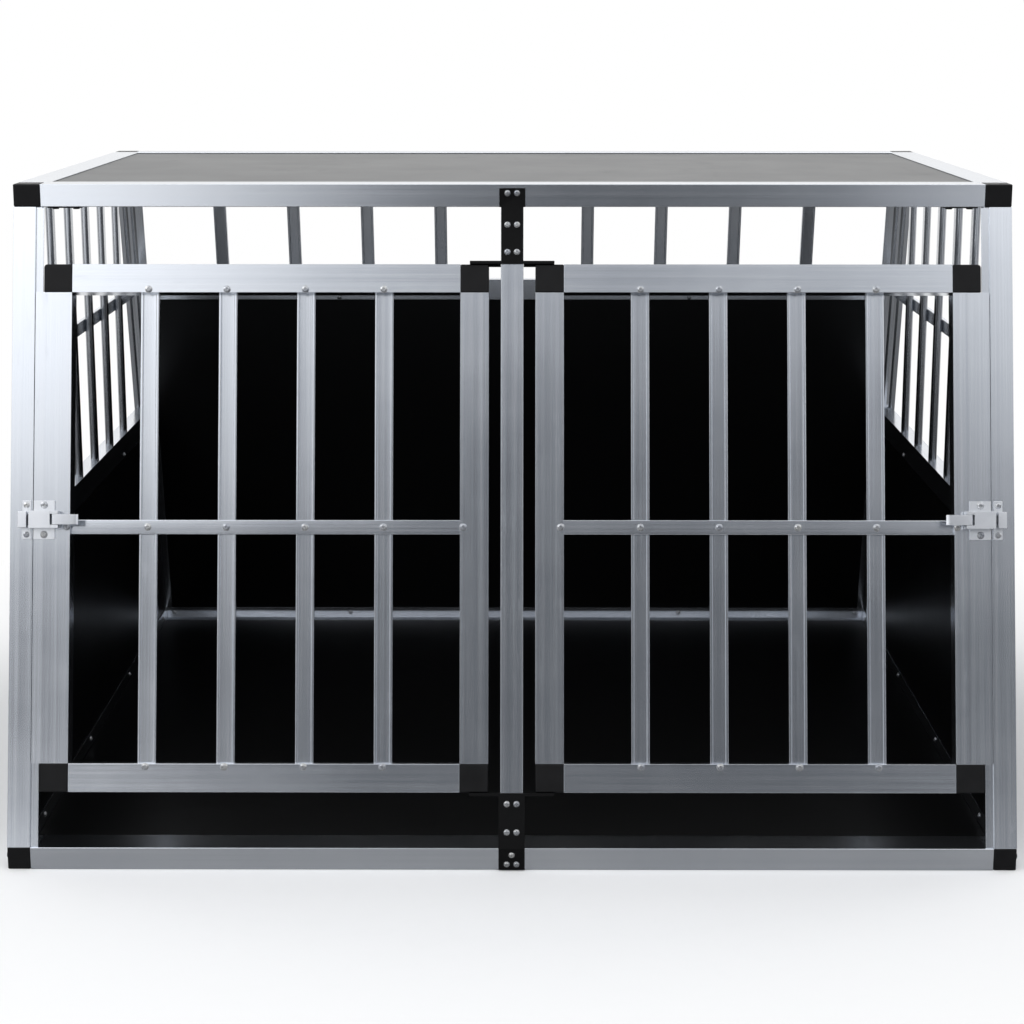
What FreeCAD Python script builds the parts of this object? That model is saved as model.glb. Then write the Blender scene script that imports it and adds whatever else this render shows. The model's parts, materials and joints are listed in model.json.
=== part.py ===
"""Aluminium dog crate with a slanted front and rear and two doors hinged on a centre post."""
import FreeCAD, Part
import os
import re
import Sketcher

Vector = FreeCAD.Vector
Rotation = FreeCAD.Rotation

# Driving dimensions in millimetres, and counts. Depths are counted back from the front bottom rail.
# The front, with its posts and doors, leans back: heights on it are counted up the slope, from the
# top of the bottom rail.
driving = {
    # The crate as a whole
    "width": 1040,
    "depth": 945,
    "height": 690,
    "front_set": 168,
    "rear_set": 150,
    # Square frame tube, and the flat fins and ledges that carry the boards
    "tube": 23.5,
    "tube_wall": 1.5,
    "fin": 8,
    "ledge": 15,
    "fin_thick": 1.5,
    "stop_depth": 3,
    # Boards
    "floor_thick": 8,
    "board": 4.5,
    "board_gap": 0.5,
    # Plastic corner connectors
    "cap_wide": 28,
    "plug_long": 30,
    "plug_gap": 0.2,
    "cap_round": 1.5,
    # Rails half way up the side and rear walls
    "mid_tube": 20,
    "side_mid": 320,
    "rear_mid_drop": 190,
    # Bars of the side and rear walls
    "bar_wide": 16.5,
    "bar_deep": 8,
    "bar_wall": 1.2,
    "bar_cut": 2.4,
    "rib_wide": 2.8,
    "rib_tall": 0.9,
    "bar_inset": 4,
    "side_bar_start": 175,
    "side_bar_gap": 82.5,
    "side_bar_count": 6,
    "rear_bar_gap": 80.5,
    "rear_bar_count": 9,
    "cross_tall": 15,
    "cross_thick": 5,
    "cross_height": 503,
    # Doors
    "door_bottom": 57,
    "door_head_room": 60,
    "door_tube": 29.5,
    "door_deep": 24,
    "door_gap": 1,
    "door_fin": 8.5,
    "door_centre_gap": 12.5,
    "door_bar_wide": 19,
    "door_bar_gap": 62.6,
    "door_bar_count": 4,
    "door_mid_tall": 15,
    "door_mid_deep": 5,
    "door_mid_inset": 5,
    "bar_seat": 9,
    "seat_gap": 0.15,
    # Hinge brackets and pivot pins
    "bracket_thick": 2.5,
    "bracket_head": 27,
    "bracket_neck": 23,
    "bracket_top_drop": 4,
    "bracket_foot_rise": 1,
    "wing_thick": 3,
    "wing_gap": 0.3,
    "wing_back": 22,
    "wing_beside": 5,
    "post_gap": 0.3,
    "pin_radius": 3,
    "pin_long": 18,
    "run_gap": 0.05,
    "bore_spare": 2,
    # Plates under the front top rail
    "gusset_long": 36,
    "gusset_thick": 1.5,
    "gusset_inset": 3,
    "bump_radius": 3.5,
    "bump_tall": 1.6,
    # Latches
    "latch_height": 338,
    "latch_reach": 16.5,
    "latch_plate_wide": 22,
    "latch_plate_tall": 40,
    "latch_plate_thick": 2,
    "housing_long": 22,
    "housing_tall": 17.8,
    "housing_out": 16,
    "housing_wall": 2.6,
    "housing_lap": 1.3,
    "ear_long": 8.3,
    "bolt_tall": 10.4,
    "bolt_deep": 5,
    "bolt_long": 33.5,
    "bolt_nose": 2,
    "slide_gap": 0.3,
    "notch_wide": 6.4,
    "notch_tall": 4.2,
    "pivot_out": 12.5,
    "pivot_behind": 4.3,
    "knuckle_radius": 3.2,
    "lever_long": 26.6,
    "lever_thick": 3,
    "lever_lead": 1.8,
    "lever_tip": 4,
    "heel_wide": 2.4,
    "heel_tall": 3,
    "heel_reach": 9,
    "latch_pin_radius": 1.5,
    "keeper_plate_wide": 9.3,
    "keeper_plate_thick": 1.2,
    "keeper_slit": 2.8,
    "keeper_box_long": 8.7,
    "keeper_box_tall": 16.8,
    "keeper_box_out": 14,
    "keeper_lap": 2.4,
    "pocket_long": 6,
    "pocket_gap": 0.5,
    # Screws and rivets
    "head_radius": 3.3,
    "head_tall": 1.8,
    "shank_radius": 1.5,
    "frame_screw_long": 8,
    "door_screw_long": 14,
    "latch_screw_long": 7,
    "rivet_long": 5,
    "screw_edge": 3.2,
    "bracket_screw_half": 5,
    "latch_screw_half": 15.3,
    "rivet_inner": 234,
    "rivet_outer": 486,
    # Bracket screws: below the roof, below the top rail, above the bottom rail and above the ground
    "head_screw_drop": 9,
    "neck_screw_drop": 19,
    "wing_screw_drop": 47.5,
    "wing_screw_rise": 45.5,
    "neck_screw_rise": 16.5,
    "foot_screw_high": 17,
    "foot_screw_low": 7,
    # How far a cutting shape runs past what it cuts
    "overrun": 40,
}

# Sizes worked out from the driving ones, as formulas of the same sheet.
worked_out = {
    "half": "width / 2",
    "inner": "half - tube",
    "row_centre": "(depth - bracket_thick - head_tall) / 2",
    "under_roof": "height - tube",
    "roof_end": "depth - rear_set",
    "front_lean": "front_set / (height - 2 * tube)",
    "front_slant": "sqrt(1 + front_lean * front_lean)",
    "front_deep": "tube * front_slant",
    "front_wall": "tube_wall * front_slant",
    "post_tall": "(height - 2 * tube) * front_slant",
    "lean": "rear_set / (height - 2 * tube)",
    "slant": "sqrt(1 + lean * lean)",
    "slant_deep": "tube * slant",
    "slant_wall": "tube_wall * slant",
    "slant_fin": "fin_thick * slant",
    "rear_foot": "depth - slant_deep",
    "plug_inset": "tube_wall + plug_gap",
    "plug": "tube - 2 * plug_inset",
    "side_mid_top": "side_mid + mid_tube",
    "rear_mid": "height - rear_mid_drop",
    "rear_mid_top": "rear_mid + mid_tube",
    "bar_outer": "inner + bar_inset + bar_deep",
    "side_bar_spacing": "bar_wide + side_bar_gap",
    "rear_bar_spacing": "bar_wide + rear_bar_gap",
    "door_bar_spacing": "door_bar_wide + door_bar_gap",
    "door_outer": "inner - fin - door_gap",
    "door_inner": "tube / 2 + door_centre_gap",
    "door_top": "post_tall - door_head_room",
    "door_middle": "(door_bottom + door_top) / 2",
    "door_plug_wide": "door_tube - 2 * plug_inset",
    "door_plug_deep": "door_deep - 2 * plug_inset",
    "door_bar_front": "door_mid_inset + door_mid_deep",
    "door_bar_middle": "(door_outer + door_inner) / 2",
    "door_bar_first": "door_bar_middle + (door_bar_count - 1) * door_bar_spacing / 2",
    "pivot_side": "door_inner + door_tube / 2",
    "pivot_depth": "door_deep / 2",
    "wing_end": "pivot_side + wing_beside",
    "top_wing": "door_top + wing_gap",
    "low_wing": "door_bottom - wing_gap - wing_thick",
    "housing_outer": "inner + housing_lap",
    "housing_inner": "housing_outer - housing_long",
    "channel_half": "bolt_tall / 2 + slide_gap",
    "bolt_back": "latch_plate_thick + slide_gap",
    "lever_pivot": "housing_inner - pivot_behind",
    "keeper_mouth": "housing_outer + keeper_slit",
    "keeper_plate_inner": "keeper_mouth - keeper_lap",
}

doc = FreeCAD.newDocument("dog_crate")
sizes = doc.addObject("Spreadsheet::Sheet", "Sizes")
cells = [(name, str(number)) for name, number in driving.items()]
cells += [(name, "=" + formula) for name, formula in worked_out.items()]
for row, (name, content) in enumerate(cells, 1):
    sizes.set("A%d" % row, name)
    sizes.set("B%d" % row, content)
    sizes.setAlias("B%d" % row, name)
doc.recompute()

pieces = []
# Each run turns the sheet-bound cross-section so that it is extruded along that world axis.
runs = {
    "X": Rotation(Vector(1, 1, 1), 120),
    "Y": Rotation(Vector(1, 1, 1), 240),
    "Z": Rotation(),
}


def bound(text):
    """An expression on the sheet, from one written with bare aliases."""
    return re.sub(r"\b[a-z][a-z_]*\b(?!\()", lambda word: "Sizes." + word.group(), text)


def size(text):
    """The number that an expression on the sheet gives."""
    return float(sizes.evalExpression(bound(text)))


def bind(thing, **expressions):
    """Bind properties of an object to the sheet."""
    for path, text in expressions.items():
        thing.setExpression(path, bound(text))


def seat(thing, x, y, z):
    """Bind an object's place."""
    for axis, text in zip("xyz", (x, y, z)):
        thing.setExpression("Placement.Base." + axis, bound(text))


def placed(label, part, leaning, y):
    """A part in its place: upright, or leaning back with the front."""
    whole = doc.addObject("Part::Compound", label)
    whole.Links = [part]
    if leaning:
        whole.Placement = FreeCAD.Placement(Vector(), Rotation(Vector(-1, 0, 0), 1))
        whole.setExpression("Placement.Rotation.Angle", bound("atan(front_lean)"))
    seat(whole, "0", y, "tube" if leaning else "0")
    return whole


def keep(part, leaning=False):
    """List a part as one of the crate's pieces, with the row's middle at the origin."""
    label = part.Label
    part.Label = label + "_form"
    whole = placed(label, part, leaning, "-row_centre")
    whole.Label = label
    pieces.append(whole)
    return whole


def rectangle(low_a, low_b, high_a, high_b):
    """The four corners of a rectangle in a cross-section."""
    return [(low_a, low_b), (high_a, low_b), (high_a, high_b), (low_a, high_b)]


def draw(body, run, outlines, start):
    """A sketch of closed outlines, each corner placed by the sheet."""
    sketch = body.newObject("Sketcher::SketchObject", body.Name + "_outline")
    plane = [item for item in body.Origin.OriginFeatures if item.Role == "XY_Plane"][0]
    sketch.AttachmentSupport = [(plane, "")]
    sketch.MapMode = "FlatFace"
    sketch.setExpression("AttachmentOffset.Base.z", bound(start))
    for outline in outlines:
        corners = [(b, a) for a, b in outline] if run == "Y" else outline
        places = [Vector(size(a), size(b), 0) for a, b in corners]
        first = sketch.GeometryCount
        count = len(corners)
        for k in range(count):
            sketch.addGeometry(Part.LineSegment(places[k], places[(k + 1) % count]))
        for k in range(count):
            after = first + (k + 1) % count
            sketch.addConstraint(Sketcher.Constraint("Coincident", first + k, 2, after, 1))
            for kind, text in zip(("DistanceX", "DistanceY"), corners[k]):
                rule = Sketcher.Constraint(kind, first + k, 1, size(text))
                index = sketch.addConstraint(rule)
                sketch.setExpression("Constraints[%d]" % index, bound(text))
    return sketch


def extend(body, run, outlines, start, end, leaning=None):
    """Pad outlines from one place along the run to another, straight or leaning by a slope."""
    sketch = draw(body, run, outlines, start)
    pad = body.newObject("PartDesign::Pad", body.Name + "_pad")
    pad.Profile = sketch
    pad.setExpression("Length", bound("(%s) - (%s)" % (end, start)))
    if leaning:
        pad.UseCustomVector = True
        pad.Direction = Vector(0, size(leaning), 1)
        pad.setExpression("Direction.y", bound(leaning))
        pad.AlongSketchNormal = True
    sketch.Visibility = False
    return pad


def member(label, run, outlines, start, end, leaning=None):
    """A body extruded along X, Y or Z from a cross-section given in the crate's own places."""
    body = doc.addObject("PartDesign::Body", label)
    body.AllowCompound = True
    body.Placement = FreeCAD.Placement(Vector(), runs[run])
    extend(body, run, outlines, start, end, leaning)
    return body


def repeat(body, axis, spacing, count):
    """Repeat a body's pad along one of its own axes."""
    pad = body.Tip
    pattern = body.newObject("PartDesign::LinearPattern", body.Name + "_row")
    pattern.Originals = [pad]
    line = [item for item in body.Origin.OriginFeatures if item.Role == axis + "_Axis"][0]
    pattern.Direction = (line, [""])
    pattern.setExpression("Length", bound("(%s) * (%s - 1)" % (spacing, count)))
    pattern.setExpression("Occurrences", bound(count))
    body.Tip = pattern
    return body


def box(label, x, y, z, long, deep, tall):
    """A block from its low corner and its three sizes."""
    block = doc.addObject("Part::Box", label)
    bind(block, Length=long, Width=deep, Height=tall)
    seat(block, x, y, z)
    return block


def rod(label, x, y, z, radius, tall):
    """An upright cylinder from the centre of its base."""
    cylinder = doc.addObject("Part::Cylinder", label)
    bind(cylinder, Radius=radius, Height=tall)
    seat(cylinder, x, y, z)
    return cylinder


def fuse(label, shapes):
    """One solid from several."""
    whole = doc.addObject("Part::MultiFuse", label)
    whole.Shapes = shapes
    return whole


def cut(label, base, tool):
    """A solid less another."""
    rest = doc.addObject("Part::Cut", label)
    rest.Base = base
    rest.Tool = tool
    return rest


def group(label, links):
    """Separate solids that share one node."""
    whole = doc.addObject("Part::Compound", label)
    whole.Links = links
    return whole


def mirror(label, source):
    """The same piece for the crate's other side."""
    image = doc.addObject("Part::Mirroring", label)
    image.Source = source
    image.Base = Vector()
    image.Normal = Vector(1, 0, 0)
    return image


def both_sides(left):
    """Keep a left part and its mirrored right one."""
    whole = keep(left)
    pieces.append(mirror(whole.Label.replace("left_", "right_"), whole))


def tube_outlines(low_a, low_b, high_a, high_b, wall_a="tube_wall", wall_b="tube_wall"):
    """Outer and inner rectangle of a hollow tube."""
    outer = rectangle(low_a, low_b, high_a, high_b)
    inner = rectangle(
        "%s + %s" % (low_a, wall_a), "%s + %s" % (low_b, wall_b),
        "%s - %s" % (high_a, wall_a), "%s - %s" % (high_b, wall_b))
    return [outer, inner]


def ribbed_bar(middle, wide, front):
    """Outer and inner outline of a flat bar with a raised rib along each edge of its front face."""
    left, right = "%s - %s / 2" % (middle, wide), "%s + %s / 2" % (middle, wide)
    outer = [
        (left, front), (left + " + rib_wide", front),
        (left + " + rib_wide", front + " + rib_tall"),
        (right + " - rib_wide", front + " + rib_tall"),
        (right + " - rib_wide", front), (right, front),
        (right, front + " + bar_deep"), (left, front + " + bar_deep")]
    inner = rectangle(
        left + " + bar_wall", front + " + rib_tall + bar_wall",
        right + " - bar_wall", front + " + bar_deep - bar_wall")
    return [outer, inner]


def cut_corners(low_a, low_b, high_a, high_b, cut_back):
    """A rectangle whose corners are cut off at an angle."""
    near_a, far_a = "%s + %s" % (low_a, cut_back), "%s - %s" % (high_a, cut_back)
    near_b, far_b = "%s + %s" % (low_b, cut_back), "%s - %s" % (high_b, cut_back)
    return [(near_a, low_b), (far_a, low_b), (high_a, near_b), (high_a, far_b),
            (far_a, high_b), (near_a, high_b), (low_a, far_b), (low_a, near_b)]


def front_back(height, offset="0"):
    """Depth of the back of the front posts at a height, moved back by an offset."""
    return "front_lean * (%s - tube) + front_deep + %s" % (height, offset)


def slope(height, offset="0"):
    """Depth of the rear wall's inner plane at a height, moved back by an offset."""
    return "rear_foot - lean * (%s - tube) + %s" % (height, offset)


def sloped_outline(low, high, near, far):
    """A cross-section between two heights and two offsets behind the rear wall's inner plane."""
    return [(slope(low, near), low), (slope(low, far), low),
            (slope(high, far), high), (slope(high, near), high)]


# Rails round the floor and the roof
front_low = member("front_bottom_rail", "X", tube_outlines("0", "0", "tube", "tube"), "-inner", "inner")
low_ledge = rectangle("tube", "tube - fin_thick", "tube + ledge", "tube")
extend(front_low, "X", [low_ledge], "-inner", "inner")
keep(front_low)

rear_low = member(
    "rear_bottom_rail", "X", tube_outlines("depth - tube", "0", "depth", "tube"), "-inner", "inner")
rear_ledge = rectangle("depth - tube - ledge", "tube - fin_thick", "depth - tube", "tube")
extend(rear_low, "X", [rear_ledge], "-inner", "inner")
extend(rear_low, "X", [sloped_outline("tube", "tube + ledge", "0", "slant_fin")], "-inner", "inner")
keep(rear_low)

side_low = member(
    "left_bottom_rail", "Y", tube_outlines("-half", "0", "-inner", "tube"), "front_deep", "rear_foot")
upright_fin = rectangle("-inner - fin_thick", "tube", "-inner", "tube + ledge")
extend(side_low, "Y", [upright_fin], front_back("tube + ledge"), slope("tube + ledge"))
both_sides(side_low)

roof_edge = "half - cap_wide"
ledge_end = "inner - fin"
front_high = member(
    "front_top_rail", "X", tube_outlines("front_set", "under_roof", "front_set + tube", "height"),
    "-(%s)" % roof_edge, roof_edge)
front_roof_ledge = rectangle(
    "front_set + tube", "height - fin_thick", "front_set + tube + ledge", "height")
extend(front_high, "X", [front_roof_ledge], "-(%s)" % ledge_end, ledge_end)
keep(front_high)

rear_high = member(
    "rear_top_rail", "X", tube_outlines("roof_end - tube", "under_roof", "roof_end", "height"),
    "-(%s)" % roof_edge, roof_edge)
rear_roof_ledge = rectangle(
    "roof_end - tube - ledge", "height - fin_thick", "roof_end - tube", "height")
extend(rear_high, "X", [rear_roof_ledge], "-(%s)" % ledge_end, ledge_end)
keep(rear_high)

side_high = member(
    "left_top_rail", "Y", tube_outlines("-half", "under_roof", "-inner", "height"),
    "front_set + cap_wide", "roof_end - cap_wide")
side_roof_ledge = rectangle("-inner", "height - fin_thick", "-inner + fin", "height")
extend(side_high, "Y", [side_roof_ledge], "front_set + cap_wide", "roof_end - cap_wide")
both_sides(side_high)

# Posts: two at the front with a stop fin for the doors, one at the centre, two along the rear slope.
# All of them lean, with level ends on the rails.
post_span = ("tube", "under_roof")
front_post = member(
    "left_front_post", "Z", tube_outlines("-half", "0", "-inner", "front_deep", wall_b="front_wall"),
    *post_span, "front_lean")
stop_fin = rectangle(
    "-inner", "stop_depth * front_slant", "-inner + fin", "(stop_depth + fin_thick) * front_slant")
extend(front_post, "Z", [stop_fin], *post_span, "front_lean")
both_sides(front_post)

keep(member(
    "centre_post", "Z", tube_outlines("-tube / 2", "0", "tube / 2", "front_deep", wall_b="front_wall"),
    *post_span, "front_lean"))

rear_post = member(
    "left_rear_post", "Z",
    tube_outlines("-half", "rear_foot", "-inner", "depth", wall_b="slant_wall"), *post_span, "-lean")
fin_foot = "tube + ledge"
for low, high in ((fin_foot, "rear_mid - fin"), ("rear_mid_top", "under_roof")):
    post_fin = rectangle("-inner", slope(low), "-inner + fin", slope(low, "slant_fin"))
    extend(rear_post, "Z", [post_fin], low, high, "-lean")
both_sides(rear_post)

# What lies ahead of the back of the front posts, and behind the front of the rear posts. It trims
# everything that ends on the posts.
ahead = member(
    "ahead_of_slope", "Z", [rectangle("-half - overrun", "-depth", "0", "front_deep")],
    *post_span, "front_lean")
behind = member(
    "behind_slope", "Z", [rectangle("-half - overrun", "rear_foot", "0", "depth + depth")],
    *post_span, "-lean")
beyond_posts = fuse("beyond_posts", [ahead, behind])

# Mid rails, each with a fin that hangs down to hold the lower board
side_mid_blank = member(
    "left_mid_rail_blank", "Y",
    tube_outlines("-inner - mid_tube", "side_mid", "-inner", "side_mid_top"), "tube", "rear_foot")
side_mid_fin = rectangle("-inner - fin_thick", "side_mid - fin", "-inner", "side_mid")
extend(side_mid_blank, "Y", [side_mid_fin], "tube", "rear_foot")
both_sides(cut("left_mid_rail", side_mid_blank, beyond_posts))

rear_mid_outer = sloped_outline("rear_mid", "rear_mid_top", "0", "mid_tube")
rear_mid_inner = sloped_outline(
    "rear_mid + tube_wall", "rear_mid_top - tube_wall", "slant_wall", "mid_tube - slant_wall")
rear_mid_rail = member("rear_mid_rail", "X", [rear_mid_outer, rear_mid_inner], "-inner", "inner")
rear_mid_fin = sloped_outline("rear_mid - fin", "rear_mid", "0", "slant_fin")
extend(rear_mid_rail, "X", [rear_mid_fin], "-inner", "inner")
keep(rear_mid_rail)

# Boards
keep(box(
    "floor_panel", "-inner + board_gap", "tube + board_gap", "tube - fin_thick - floor_thick",
    "2 * (inner - board_gap)", "depth - 2 * (tube + board_gap)", "floor_thick"))
keep(box(
    "roof_panel", "-half + cap_wide + board_gap", "front_set + cap_wide + board_gap",
    "height - fin_thick - board", "2 * (half - cap_wide - board_gap)",
    "roof_end - front_set - 2 * (cap_wide + board_gap)", "board"))
keep(member(
    "rear_panel", "X", [sloped_outline("tube", "rear_mid", "slant_fin", "slant_fin + board * slant")],
    "-inner + board_gap", "inner - board_gap"))
side_board = [
    (front_back("tube", "board_gap"), "tube"), (slope("tube", "-board_gap"), "tube"),
    (slope("side_mid", "-board_gap"), "side_mid"), (front_back("side_mid", "board_gap"), "side_mid")]
both_sides(member(
    "left_side_panel", "X", [side_board], "-inner - fin_thick - board", "-inner - fin_thick"))

# Bars above the boards
rear_bar_first = "-(rear_bar_count - 1) * rear_bar_spacing / 2"
rear_bar = ribbed_bar(rear_bar_first, "bar_wide", slope("rear_mid_top", "bar_inset"))
rear_bars = member("rear_bars", "Z", rear_bar, "rear_mid_top", "under_roof", "-lean")
keep(repeat(rear_bars, "X", "rear_bar_spacing", "rear_bar_count"))

# A side bar has no ribs, and its corners are cut off
bar_front, bar_back = "side_bar_start - bar_wide / 2", "side_bar_start + bar_wide / 2"
side_bar = [
    cut_corners("-bar_outer", bar_front, "-bar_outer + bar_deep", bar_back, "bar_cut"),
    cut_corners(
        "-bar_outer + bar_wall", bar_front + " + bar_wall",
        "-bar_outer + bar_deep - bar_wall", bar_back + " - bar_wall", "(bar_cut - bar_wall / 2)")]
side_bars_blank = member("left_bars_blank", "Z", side_bar, "side_mid_top", "under_roof")
repeat(side_bars_blank, "Y", "side_bar_spacing", "side_bar_count")
both_sides(cut("left_bars", side_bars_blank, beyond_posts))

cross_bar = rectangle(
    "-bar_outer - cross_thick", "cross_height - cross_tall / 2",
    "-bar_outer", "cross_height + cross_tall / 2")
cross_blank = member("left_cross_bar_blank", "Y", [cross_bar], "tube", "rear_foot")
left_cross = cut("left_cross_bar", cross_blank, beyond_posts)
keep(group("side_cross_bars", [left_cross, mirror("right_cross_bar", left_cross)]))


def rounded(label, block, radius):
    """A block with every edge rounded."""
    doc.recompute()
    fillet = doc.addObject("Part::Fillet", label)
    fillet.Base = block
    fillet.Edges = [(number, radius, radius) for number in range(1, len(block.Shape.Edges) + 1)]
    return fillet


def corner(label, place, block_size, plugs):
    """A corner connector: a rounded block with plugs that push into the tubes."""
    block = rounded(label + "_block", box(label + "_cube", *place, *block_size), size("cap_round"))
    return fuse(label, [block] + plugs)


def plug_box(label, place, along):
    """A straight plug along X, Y or Z for a frame tube."""
    lengths = ["plug_long" if axis == along else "plug" for axis in "XYZ"]
    return box(label, *place, *lengths)


def front_plug(label, low, high):
    """A plug that leans with a front post, inside it."""
    outline = rectangle(
        "-half + plug_inset", front_back(low, "front_wall + plug_gap - front_deep"),
        "-inner - plug_inset", front_back(low, "-front_wall - plug_gap"))
    return member(label, "Z", [outline], low, high, "front_lean")


def rear_plug(label, low, high):
    """A plug that leans with a rear post, inside it."""
    outline = rectangle(
        "-half + plug_inset", slope(low, "slant_wall + plug_gap"),
        "-inner - plug_inset", slope(low, "slant_deep - slant_wall - plug_gap"))
    return member(label, "Z", [outline], low, high, "-lean")


# Corner connectors of the frame
front_low_corner = corner("front_low_corner", ("-half", "0", "0"), ("tube", "front_deep", "tube"), [
    plug_box("front_low_plug_x", ("-inner", "plug_inset", "plug_inset"), "X"),
    plug_box("front_low_plug_y", ("-half + plug_inset", "front_deep", "plug_inset"), "Y"),
    front_plug("front_low_plug_z", "tube", "tube + plug_long")])
rear_low_corner = corner("rear_low_corner", ("-half", "rear_foot", "0"), ("tube", "slant_deep", "tube"), [
    plug_box("rear_low_plug_x", ("-inner", "depth - tube + plug_inset", "plug_inset"), "X"),
    plug_box("rear_low_plug_y", ("-half + plug_inset", "rear_foot - plug_long", "plug_inset"), "Y"),
    rear_plug("rear_low_plug_z", "tube", "tube + plug_long")])
high_block = ("cap_wide", "cap_wide", "tube")
high_plug = "under_roof + plug_inset"
front_high_corner = corner("front_high_corner", ("-half", "front_set", "under_roof"), high_block, [
    plug_box("front_high_plug_x", ("-half + cap_wide", "front_set + plug_inset", high_plug), "X"),
    plug_box("front_high_plug_y", ("-half + plug_inset", "front_set + cap_wide", high_plug), "Y"),
    front_plug("front_high_plug_z", "under_roof - plug_long", "under_roof")])
rear_high_corner = corner(
    "rear_high_corner", ("-half", "roof_end - cap_wide", "under_roof"), high_block, [
        plug_box("rear_high_plug_x", ("-half + cap_wide", "roof_end - tube + plug_inset", high_plug), "X"),
        plug_box("rear_high_plug_y", (
            "-half + plug_inset", "roof_end - cap_wide - plug_long", high_plug), "Y"),
        rear_plug("rear_high_plug_z", "under_roof - plug_long", "under_roof")])
left_low_corners = group("left_lower_corners", [front_low_corner, rear_low_corner])
keep(group("lower_corners", [left_low_corners, mirror("right_lower_corners", left_low_corners)]))
left_high_corners = group("left_upper_corners", [front_high_corner, rear_high_corner])
keep(group("upper_corners", [left_high_corners, mirror("right_upper_corners", left_high_corners)]))

# Hinge brackets: a plate on the centre post, bent upright where it laps a rail, with a wing over or
# under each door
half_head = "bracket_head / 2"


def pivot_holes(label, low):
    """The two pin holes through a bracket's wings."""
    left = rod(label + "_left", "-pivot_side", "pivot_depth", low, "pin_radius", "wing_thick")
    right = rod(label + "_right", "pivot_side", "pivot_depth", low, "pin_radius", "wing_thick")
    return group(label, [left, right])


def bracket(label, start, end, low, wide, lap_place, lap_tall):
    """A hinge bracket, from its plate's ends, the height of its wings and its lap on the rail."""
    plate = box(
        label + "_plate", "-(%s) / 2" % wide, "-bracket_thick", start, wide, "bracket_thick",
        "(%s) - (%s)" % (end, start))
    strip = box(
        label + "_strip", "-wing_end", "-bracket_thick", low, "2 * wing_end", "bracket_thick", "wing_thick")
    wing_side = "tube / 2 + post_gap"
    wings = [box(
        label + name, start_x, "0", low, "wing_end - (%s)" % wing_side, "wing_back", "wing_thick")
        for name, start_x in (("_left_wing", "-wing_end"), ("_right_wing", wing_side))]
    whole = fuse(label + "_whole", [plate, strip] + wings)
    bored = cut(label + "_bored", whole, pivot_holes(label + "_holes", low))
    lap = box(label + "_lap", "-" + half_head, *lap_place, "bracket_head", "bracket_thick", lap_tall)
    return keep(fuse(label, [placed(label + "_leaning", bored, True, "0"), lap]))


fold = "bracket_thick * front_lean"
bracket(
    "top_bracket", "top_wing", "post_tall", "top_wing", "bracket_neck",
    ("front_set - bracket_thick", "under_roof"), "tube - bracket_top_drop")
bracket(
    "bottom_bracket", "0", "low_wing + wing_thick", "low_wing", "bracket_head",
    ("-bracket_thick", "bracket_foot_rise"), "tube - bracket_foot_rise + " + fold)
pin_tall = "pin_long + wing_gap + wing_thick"
left_pins = group("left_hinge_pins", [
    rod("left_top_pin", "-pivot_side", "pivot_depth", "door_top - pin_long", "pin_radius", pin_tall),
    rod("left_low_pin", "-pivot_side", "pivot_depth", "low_wing", "pin_radius", pin_tall)])
keep(group("hinge_pins", [left_pins, mirror("right_hinge_pins", left_pins)]), leaning=True)

# Small plates that tie the front top rail to the posts, each with two rivet heads underneath
gusset = box(
    "left_gusset_plate", "-inner + fin + gusset_inset", "front_set + gusset_inset",
    "under_roof - gusset_thick",
    "gusset_long", "tube - 2 * gusset_inset", "gusset_thick")
bumps = [rod(
    "left_gusset_bump_%d" % number, "-inner + fin + gusset_inset + " + along, "front_set + tube / 2",
    "under_roof - gusset_thick - bump_tall", "bump_radius", "bump_tall")
    for number, along in enumerate(("gusset_long / 5", "gusset_long * 4 / 5"), 1)]
left_gusset = fuse("left_gusset", [gusset] + bumps)
keep(group("corner_plates", [left_gusset, mirror("right_gusset", left_gusset)]))


def keep_pair(left):
    """Keep a part of the left door or its latch, and the mirrored right one."""
    whole = keep(left, leaning=True)
    pieces.append(mirror(whole.Label.replace("left_", "right_"), whole))


# The left door: its frame tubes, with slots that the bars and the mid rail enter
bar_low = "door_bottom + door_tube - bar_seat"
bar_high = "door_top - door_tube + bar_seat"
bar_outline = ribbed_bar("-door_bar_first", "door_bar_wide", "door_bar_front")
left_door_bars = member("left_door_bars", "Z", bar_outline, bar_low, bar_high)
keep_pair(repeat(left_door_bars, "X", "door_bar_spacing", "door_bar_count"))

bar_room_outline = rectangle(
    "-door_bar_first - door_bar_wide / 2 - seat_gap", "door_bar_front - seat_gap",
    "-door_bar_first + door_bar_wide / 2 + seat_gap", "door_bar_front + bar_deep + seat_gap")
bar_room = member(
    "left_door_bar_room", "Z", [bar_room_outline], bar_low + " - seat_gap", bar_high + " + seat_gap")
repeat(bar_room, "X", "door_bar_spacing", "door_bar_count")

mid_start = "-door_outer + door_tube - bar_seat"
mid_end = "-door_inner - door_tube + bar_seat"
mid_outline = rectangle(
    "door_mid_inset", "door_middle - door_mid_tall / 2",
    "door_bar_front", "door_middle + door_mid_tall / 2")
keep_pair(member("left_door_mid_rail", "X", [mid_outline], mid_start, mid_end))
mid_room_outline = rectangle(
    "door_mid_inset - seat_gap", "door_middle - door_mid_tall / 2 - seat_gap",
    "door_bar_front + seat_gap", "door_middle + door_mid_tall / 2 + seat_gap")
mid_room = member(
    "left_door_mid_room", "X", [mid_room_outline], mid_start + " - seat_gap", mid_end + " + seat_gap")

door_rail_span = ("-door_outer + door_tube", "-door_inner - door_tube")
for name, low, high in (
        ("left_door_top_rail", "door_top - door_tube", "door_top"),
        ("left_door_bottom_rail", "door_bottom", "door_bottom + door_tube")):
    blank = member(name + "_blank", "X", tube_outlines("0", low, "door_deep", high), *door_rail_span)
    keep_pair(cut(name, blank, bar_room))

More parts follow.
